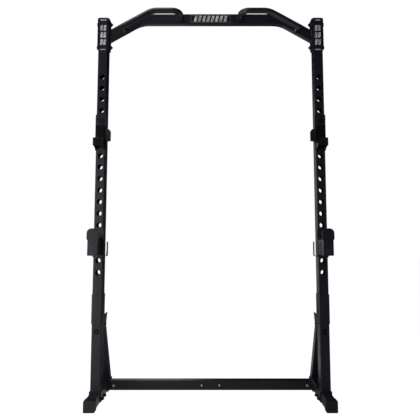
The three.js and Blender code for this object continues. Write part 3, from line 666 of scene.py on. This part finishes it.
# solid of revolution along +Z; a ring is (radius, height) or ("hex", flats, cone top radius, height)
def turnedShape(profile, steps=36):
    shape = bmesh.new()
    loops = []
    for entry in profile:
        loop = []
        for step in range(steps):
            angle = 2 * math.pi * step / steps
            if entry[0] == "hex":
                radius = hexRadius(entry[1], angle)
                height = entry[3] - (radius - entry[2]) * 0.5 if entry[2] else entry[3]
            else:
                radius, height = entry
            point = Vector((radius * math.cos(angle), radius * math.sin(angle), height))
            loop.append(shape.verts.new(point * millimetre))
        loops.append(loop)
    for low, high in zip(loops, loops[1:]):
        for i in range(steps):
            j = (i + 1) % steps
            shape.faces.new((low[i], low[j], high[j], high[i]))
    shape.faces.new(loops[0][::-1])
    shape.faces.new(loops[-1])
    return shape


# washer and hexagon that a bolt's head and a nut share
def hexProfile(top):
    look = fastenerLook
    flats, base, rim = look["flats"], look["washer"], look["washerRadius"]
    cone = flats / 2 * look["coneShare"]
    return cone, [(rim - 0.3, 0), (rim, 0.3), (rim, base - 0.3), (rim - 0.4, base),
                  ("hex", flats, 0, base + 0.01), ("hex", flats, cone, top - 0.1), (cone, top)]


def boltHeadProfile():
    top = fastenerLook["head"]
    cone, rings = hexProfile(top)
    return rings + [(cone - 2.6, top), (cone - 3.0, top - 0.5), (cone - 6.5, top - 0.7)]


def nutProfile():
    top, thread = fastenerLook["nut"], fastenerLook["thread"]
    tip = top + fastenerLook["tail"]
    pitch = fastenerLook["threadPitch"]
    _, rings = hexProfile(top)
    rings += [(thread + 0.9, top), (thread - 0.5, top - 0.8)]
    height = top - 0.5
    while height < tip - pitch:
        rings += [(thread - 0.7, height), (thread - 0.05, height + pitch / 2)]
        height += pitch
    return rings + [(thread - 0.7, height), (thread - 1.4, tip)]


def fastenerSet(name, profile, places, finish, replaced):
    template = objectFrom(name + "Shape", turnedShape(profile))
    template.data.shade_smooth()
    template.modifiers.new("flatShading", "WEIGHTED_NORMAL")
    template.data.set_sharp_from_angle(angle=math.radians(32))
    points = bpy.data.meshes.new(name)
    points.from_pydata([Vector(place) * millimetre for place, _, _ in places], [], [])
    points.attributes.new("facing", "FLOAT_VECTOR", "POINT")
    points.attributes.new("size", "FLOAT", "POINT")
    for index, (_, way, scale) in enumerate(places):
        points.attributes["facing"].data[index].vector = way
        points.attributes["size"].data[index].value = scale
    made = newObject(name, points)
    runGroup(made, scatter, scatterKeys, {"Shape": template, "Coat": paints[finish]})
    bpy.data.objects.remove(template)
    return settle(made, "frame", finish, replaced)


crossBoltLook = {"endHead": 0.62, "middleHead": 0.48, "nut": 0.8}
headPlaces = []
crossHeadPlaces = []
nutPlaces = []
boltNodes = []
for side, way in sides.items():
    for base, scale in (("bar_bolt_upper", 1.0), ("bar_bolt_lower", 1.0),
                        ("foot_bolt_front", 0.8), ("foot_bolt_rear", 0.8)):
        node = f"{base}_{side}"
        low, high = boxOf(node)
        _, y, z = middleOf(node)
        outer = high[0] if way > 0 else low[0]
        inner = low[0] if way > 0 else high[0]
        headPlaces.append(((outer - way * fastenerLook["head"] * scale, y, z), (way, 0, 0), scale))
        tip = (fastenerLook["nut"] + fastenerLook["tail"]) * scale
        nutPlaces.append(((inner + way * tip, y, z), (-way, 0, 0), scale))
        boltNodes.append(node)
for node in ("cross_end_bolt_left", "cross_end_bolt_right", "cross_mid_bolt_left", "cross_mid_bolt_right"):
    low, high = boxOf(node)
    x, _, z = middleOf(node)
    scale = crossBoltLook["endHead"] if "end" in node else crossBoltLook["middleHead"]
    nutScale = crossBoltLook["nut"]
    tip = (fastenerLook["nut"] + fastenerLook["tail"]) * nutScale
    crossHeadPlaces.append(((x, low[1] + fastenerLook["head"] * nutScale, z), (0, -1, 0), scale))
    nutPlaces.append(((x, high[1] - tip, z), (0, 1, 0), nutScale))
    boltNodes.append(node)
fastenerSet("boltHeads", boltHeadProfile(), headPlaces, "blackZinc", boltNodes)
fastenerSet("crossBoltHeads", boltHeadProfile(), crossHeadPlaces, "brightZinc", [])
fastenerSet("boltNuts", nutProfile(), nutPlaces, "blackZinc", [])
print("bolts made:", len(headPlaces) + len(crossHeadPlaces))


# ---- plain plate and marks ----

plateLook = {"border": 2.2, "inset": 3.0, "lift": 0.35, "bars": 8, "barHeight": 34.0, "barWidth": 15.0,
             "barPitch": 24.0, "lean": 9.0}
markLook = {"dashHeights": (2073, 1902), "dashWidth": 32.0, "dashTall": 6, "rowHeights": (2027, 1986, 1945),
            "offset": 9, "width": 13.5, "tall": 32, "lean": 3}
# size and place of the dark sheet of painted shade laid over each hook's cup
hookShadeLook = {"above": 60.0, "height": 42.0, "width": 55.0, "thickness": 0.5}


# flat printed shapes, and the dark sheets of painted shade over the hook cups, that stand off a front face by
# a hair
def frontPatches(name, outlines, frontY, thickness, finish, body="frame"):
    shape = bmesh.new()
    for outline in outlines:
        loops = [[shape.verts.new(Vector((x, y, z)) * millimetre) for x, z in outline]
                 for y in (frontY, frontY - thickness)]
        for i in range(len(outline)):
            j = (i + 1) % len(outline)
            shape.faces.new((loops[0][i], loops[0][j], loops[1][j], loops[1][i]))
        shape.faces.new(loops[0])
        shape.faces.new(loops[1])
    bmesh.ops.recalc_face_normals(shape, faces=shape.faces)
    made = objectFrom(name, shape)
    return settle(made, body, finish)


def leaningBar(x, z, width, height, lean):
    return [(x - width / 2 - lean / 2, z - height / 2), (x + width / 2 - lean / 2, z - height / 2),
            (x + width / 2 + lean / 2, z + height / 2), (x - width / 2 + lean / 2, z + height / 2)]


def plainPlate():
    low, high = boxOf("bar_badge")
    middleX, _, middleZ = middleOf("bar_badge")
    look = plateLook
    plate = bevelledCopy("barPlate", "bar_badge", 0.5, 2)
    settle(plate, "frame", "plateInk", ["bar_badge"])
    width = high[0] - low[0] - 2 * look["inset"]
    height = high[2] - low[2] - 2 * look["inset"]
    edge = look["border"]
    rails = []
    for sign in (-1, 1):
        rails.append(leaningBar(middleX, middleZ + sign * (height - edge) / 2, width, edge, 0))
        rails.append(leaningBar(middleX + sign * (width - edge) / 2, middleZ, edge, height - 2 * edge, 0))
    frontPatches("plateBorder", rails, low[1] + 0.02, look["lift"], "borderGrey")
    count = look["bars"]
    bars = [leaningBar(middleX + (i - (count - 1) / 2) * look["barPitch"], middleZ, look["barWidth"],
                       look["barHeight"], look["lean"]) for i in range(count)]
    frontPatches("plateStripes", bars, low[1] + 0.02, look["lift"], "printWhite")


def postMarks(side):
    low, high = boxOf(f"post_upper_{side}")
    middleX = (low[0] + high[0]) / 2
    look = markLook
    marks = [leaningBar(middleX, z, look["dashWidth"], look["dashTall"], 0) for z in look["dashHeights"]]
    for z in look["rowHeights"]:
        for offset in (-look["offset"], look["offset"]):
            marks.append(leaningBar(middleX + offset, z, look["width"], look["tall"], look["lean"]))
    frontPatches(f"uprightMarks_{side}", marks, low[1] + 0.02, plateLook["lift"], "printWhite")


plainPlate()
for side in sides:
    postMarks(side)
# a dark sheet in the moulded plastic finish over each hook's cup: painted shade standing in for the shade
# inside the cup, not a real pad
for side in sides:
    hookLow, hookHigh = boxOf(f"hook_body_{side}")
    middleX = middleOf(f"post_upper_{side}")[0]
    lipTop = hookLow[2] + hookShadeLook["above"]
    width, height = hookShadeLook["width"], hookShadeLook["height"]
    shadeOutline = leaningBar(middleX, lipTop - height / 2, width, height, 0)
    frontPatches(f"lipPad_{side}", [shadeOutline], hookLow[1] + 0.02, hookShadeLook["thickness"],
                 "mouldedPlastic", f"hook_{side}")
print("plate, marks and lip pads made")


# ---- weld beads ----

weldLook = {"radius": 2.4, "spacing": 2.6}


def seamsOnBrackets():
    for side in sides:
        low, high = boxOf(f"catch_arm_{side}")
        x = (low[0] + high[0]) / 2
        rim = [(x + u, high[1] - 0.6, low[2] + 41 + v) for u, v in roundedLoop(54, 84, 6, 3)]
        weldSeams[f"catch_{side}"].append(rim + rim[:1])
        hookLow, hookHigh = boxOf(f"hook_body_{side}")
        for edge in (-26.4, 26.4):
            weldSeams[f"hook_{side}"].append([(x + edge, hookHigh[1] - 28.2, hookLow[2] + 6),
                                              (x + edge, hookHigh[1] - 28.2, hookLow[2] + 30)])


def weldBeads(body, seams):
    mesh = bpy.data.meshes.new(f"welds_{body}")
    points = []
    edges = []
    for seam in seams:
        start = len(points)
        points += [Vector(point) * millimetre for point in seam]
        edges += [(start + i, start + i + 1) for i in range(len(seam) - 1)]
    mesh.from_pydata(points, edges, [])
    made = newObject(f"welds_{body}", mesh)
    runGroup(made, welds, weldKeys, {
        "Drop Radius": weldLook["radius"] * millimetre, "Drop Spacing": weldLook["spacing"] * millimetre,
        "Seed": 7, "Coat": paints["powderCoat"]})
    return settle(made, body, "powderCoat")


seamsOnBrackets()
for body, seams in weldSeams.items():
    if seams:
        weldBeads(body, seams)
print("welds made")


# ---- studio ----

studioLook = {"floorSize": 40.0, "floorGlow": 1.0, "behindGlow": 0.4, "roomGrey": 0.008}
lampPlan = {
    "keySoftbox": {"at": (-1.9, -2.0, 0.6), "aim": (-0.1, 0, 0.5), "size": (1.2, 2.4), "power": 32},
    "fillSoftbox": {"at": (2.6, -3.0, 0.9), "aim": (0.4, 0, 0.6), "size": (1.4, 2.2), "power": 6},
    "topSoftbox": {"at": (-1.0, -1.4, 4.3), "aim": (-0.3, 0, 1.8), "size": (1.8, 0.9), "power": 24},
    "sideSoftbox": {"at": (-2.8, -0.45, 0.8), "aim": (0.6, -0.1, 0.8), "size": (0.8, 2.6), "power": 17},
    "backSoftbox": {"at": (-0.78, 4.6, 1.1), "aim": (-0.4, 0, 1.0), "size": (1.1, 3.4), "power": 7},
}


def addLamp(name, plan):
    lamp = bpy.data.lights.new(name, "AREA")
    lamp.shape = "RECTANGLE"
    lamp.size, lamp.size_y = plan["size"]
    lamp.energy = plan["power"]
    made = bpy.data.objects.new(name, lamp)
    bpy.context.scene.collection.objects.link(made)
    made.location = plan["at"]
    made.rotation_euler = (Vector(plan["aim"]) - Vector(plan["at"])).to_track_quat("-Z", "Y").to_euler()
    made.visible_camera = False


def paleFloor():
    half = studioLook["floorSize"] / 2
    shape = bmesh.new()
    bmesh.ops.create_grid(shape, x_segments=1, y_segments=1, size=half)
    floor = objectFrom("paleFloor", shape)
    for vertex in floor.data.vertices:
        vertex.co.z = -0.0005
    material = bpy.data.materials.new("floorWhite")
    material.use_nodes = True
    tree = material.node_tree
    tree.nodes.clear()
    bench = Bench(tree)
    seen = bench.node("ShaderNodeLightPath", output="Is Camera Ray")
    shiny = bench.node("ShaderNodeLightPath", output="Is Glossy Ray")
    place = bench.node("ShaderNodeNewGeometry", output="Position")
    across = bench.node("ShaderNodeSeparateXYZ", None, {0: place}, "X")
    along = bench.node("ShaderNodeSeparateXYZ", None, {0: place}, "Y")
    ahead = bench.fade(across, 0.6, -0.6, 0.07, 0.30)
    ahead = ahead * bench.fade(along, 0.24, 0.14) * bench.fade(along, -3.0, -2.0)
    behind = bench.fade(across, 0.04, 0.14) * bench.fade(along, 0.4, 0.7)
    behind = behind * bench.fade(along, 3.0, 2.2) * studioLook["behindGlow"]
    matt = bench.node("ShaderNodeBsdfDiffuse", None, {"Color": (0.3, 0.3, 0.3, 1)})
    shade = bench.mixColour(seen + shiny * (ahead + behind), (0, 0, 0, 1), (1, 1, 1, 1))
    glow = bench.node("ShaderNodeEmission", None, {"Color": shade, "Strength": studioLook["floorGlow"]})
    both = bench.node("ShaderNodeAddShader", None, {0: matt, 1: glow})
    bench.leave("ShaderNodeOutputMaterial", "Surface", both)
    floor.data.materials.append(material)


def whiteRoom():
    world = bpy.data.worlds.new("whiteRoom")
    world.use_nodes = True
    tree = world.node_tree
    tree.nodes.clear()
    bench = Bench(tree)
    seen = bench.node("ShaderNodeLightPath", output="Is Camera Ray")
    strength = seen * (1.0 - studioLook["roomGrey"]) + studioLook["roomGrey"]
    light = bench.node("ShaderNodeBackground", None, {"Color": (1, 1, 1, 1), "Strength": strength})
    bench.leave("ShaderNodeOutputWorld", "Surface", light)
    bpy.context.scene.world = world


for lampName, lampSettings in lampPlan.items():
    addLamp(lampName, lampSettings)
paleFloor()
whiteRoom()
bpy.context.scene.view_settings.view_transform = "Standard"

cameraLook = {"at": (0.0, -2.982, 0.875), "tilt": 96.43, "lens": 45.82, "shiftX": -0.0012, "shiftY": -0.0848}
cameraData = bpy.data.cameras.new("frontCamera")
cameraData.lens = cameraLook["lens"]
cameraData.sensor_width = 36
cameraData.shift_x = cameraLook["shiftX"]
cameraData.shift_y = cameraLook["shiftY"]
camera = bpy.data.objects.new("frontCamera", cameraData)
bpy.context.scene.collection.objects.link(camera)
camera.location = cameraLook["at"]
camera.rotation_euler = (math.radians(cameraLook["tilt"]), 0, 0)
bpy.context.scene.camera = camera
print("studio made")
